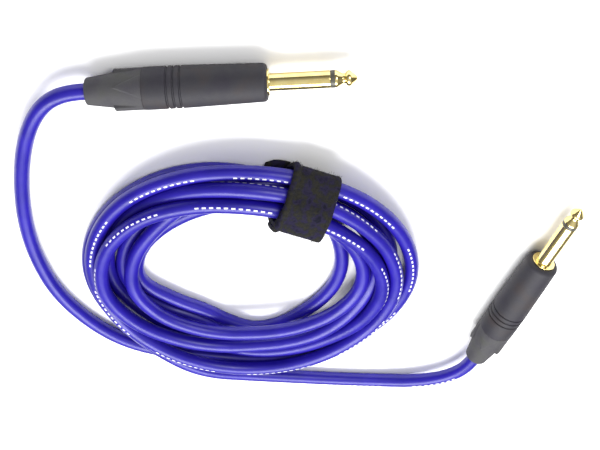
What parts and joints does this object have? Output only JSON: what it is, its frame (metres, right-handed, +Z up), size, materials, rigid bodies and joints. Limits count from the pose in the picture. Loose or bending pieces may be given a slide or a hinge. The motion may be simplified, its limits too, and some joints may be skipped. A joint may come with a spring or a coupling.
{
  "type": "instrument cable",
  "caption": "Coiled blue-violet instrument cable with a straight two-pole 6.35 mm jack plug on each end, tied with a black hook-and-loop strap.",
  "frame": {"origin": "on the surface that the lead lies on, under the middle of the two plugs' box", "axes": "+Z up; +X along the long side of the laid-out lead; +Y the way that the coil's strap and the second plug's tip point"},
  "size_m": [0.2235, 0.1859, 0.0252],
  "materials": {
    "housing_plastic": "fine matte dark grey moulding",
    "gold_contact": "polished pale gold plating",
    "insulator_plastic": "dark olive-black",
    "tinned_lug": "tinned",
    "liner_plastic": "plain",
    "chuck_plastic": "plain",
    "insert_plastic": "plain",
    "boot_rubber": "matte dark grey",
    "cable_jacket": "semi-gloss blue-violet",
    "copper": "bare copper",
    "core_plastic": "natural",
    "strap_fabric": "black hook-and-loop"
  },
  "bodies": {
    "lead": {"housing_a": "housing_plastic", "sleeve_contact_a": "gold_contact", "tip_contact_a": "gold_contact", "tip_insulator_a": "insulator_plastic", "rod_insulator_a": "insulator_plastic", "rear_insulator_a": "insulator_plastic", "tip_lug_a": "tinned_lug", "ground_lug_a": "tinned_lug", "liner_a": "liner_plastic", "jacket_end_a": "cable_jacket", "shield_end_a": "copper", "shield_pigtail_a": "copper", "core_insulation_a": "core_plastic", "conductor_a": "copper", "housing_b": "housing_plastic", "sleeve_contact_b": "gold_contact", "tip_contact_b": "gold_contact", "tip_insulator_b": "insulator_plastic", "rod_insulator_b": "insulator_plastic", "rear_insulator_b": "insulator_plastic", "tip_lug_b": "tinned_lug", "ground_lug_b": "tinned_lug", "liner_b": "liner_plastic", "jacket_end_b": "cable_jacket", "shield_end_b": "copper", "shield_pigtail_b": "copper", "core_insulation_b": "core_plastic", "conductor_b": "copper", "cord_tail_a": "cable_jacket", "cord_coil": "cable_jacket", "cord_tail_b": "cable_jacket", "strap": "strap_fabric"},
    "chuck_a_body": {"chuck_a": "chuck_plastic"},
    "boot_a_body": {"thread_insert_a": "insert_plastic", "boot_a": "boot_rubber"},
    "chuck_b_body": {"chuck_b": "chuck_plastic"},
    "boot_b_body": {"thread_insert_b": "insert_plastic", "boot_b": "boot_rubber"}
  },
  "joints": [
    {"name": "chuck_a_slide", "type": "slide", "parent": "lead", "child": "chuck_a_body", "axis": [-0.9979, -0.0645, 0], "range_m": [0, 0.003]},
    {"name": "boot_a_turn", "type": "hinge", "parent": "chuck_a_body", "child": "boot_a_body", "pos_m": [-0.07284, 0.07112, 0.00765], "axis": [-0.9979, -0.0645, 0], "range_deg": [0, 1080]},
    {"name": "chuck_b_slide", "type": "slide", "parent": "lead", "child": "chuck_b_body", "axis": [-0.3272, -0.9449, 0], "range_m": [0, 0.003]},
    {"name": "boot_b_turn", "type": "hinge", "parent": "chuck_b_body", "child": "boot_b_body", "pos_m": [0.06711, -0.05983, 0.00765], "axis": [-0.3272, -0.9449, 0], "range_deg": [0, 1080]}
  ],
  "couplings": [
    {"joint": "chuck_a_slide", "follows": "boot_a_turn", "m_per_rad": 0.000159},
    {"joint": "chuck_b_slide", "follows": "boot_b_turn", "m_per_rad": 0.000159}
  ]
}
